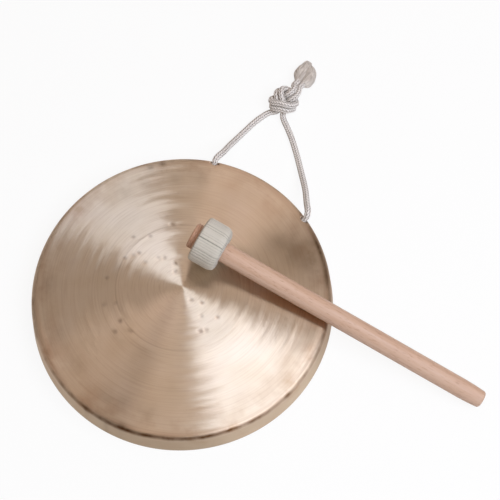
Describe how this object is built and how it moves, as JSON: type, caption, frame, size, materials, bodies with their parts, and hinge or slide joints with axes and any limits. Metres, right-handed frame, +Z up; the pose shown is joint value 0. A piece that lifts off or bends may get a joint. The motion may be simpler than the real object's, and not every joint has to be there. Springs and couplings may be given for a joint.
{
  "type": "hand gong",
  "caption": "Round bronze hand gong lying face up on its rim, with a knotted hanging cord through the rim and a wooden beater with a tape-wrapped head resting on it.",
  "frame": {"origin": "centre of the striking face, on its outer surface", "axes": "+Z up out of the striking face, +Y from the centre to the middle between the two cord holes, +X to the right of +Y; the rim's lip lies 26.5 mm below the origin"},
  "size_m": [0.3292, 0.329, 0.0634],
  "materials": {
    "bronze": "hand-hammered and lathe-scraped bronze, satin to bright",
    "cord": "braided off-white nylon with grey flecks",
    "beech": "smooth beech with a thin satin finish",
    "cotton_tape": "ribbed grey-white cotton tape"
  },
  "bodies": {
    "gong": {"gong_disc": "bronze", "cord_inner_run": "cord", "cord_left_leg": "cord", "cord_right_leg": "cord", "cord_left_knot_strand": "cord", "cord_right_knot_strand": "cord", "cord_left_strand_end": "cord", "cord_right_strand_end": "cord"},
    "beater": {"beater_shaft": "beech", "beater_head_wrap": "cotton_tape"}
  },
  "joints": [
    {"name": "beater_lift", "type": "slide", "parent": "gong", "child": "beater", "axis": [0, 0, 1], "range_m": [0, 0.15]}
  ]
}
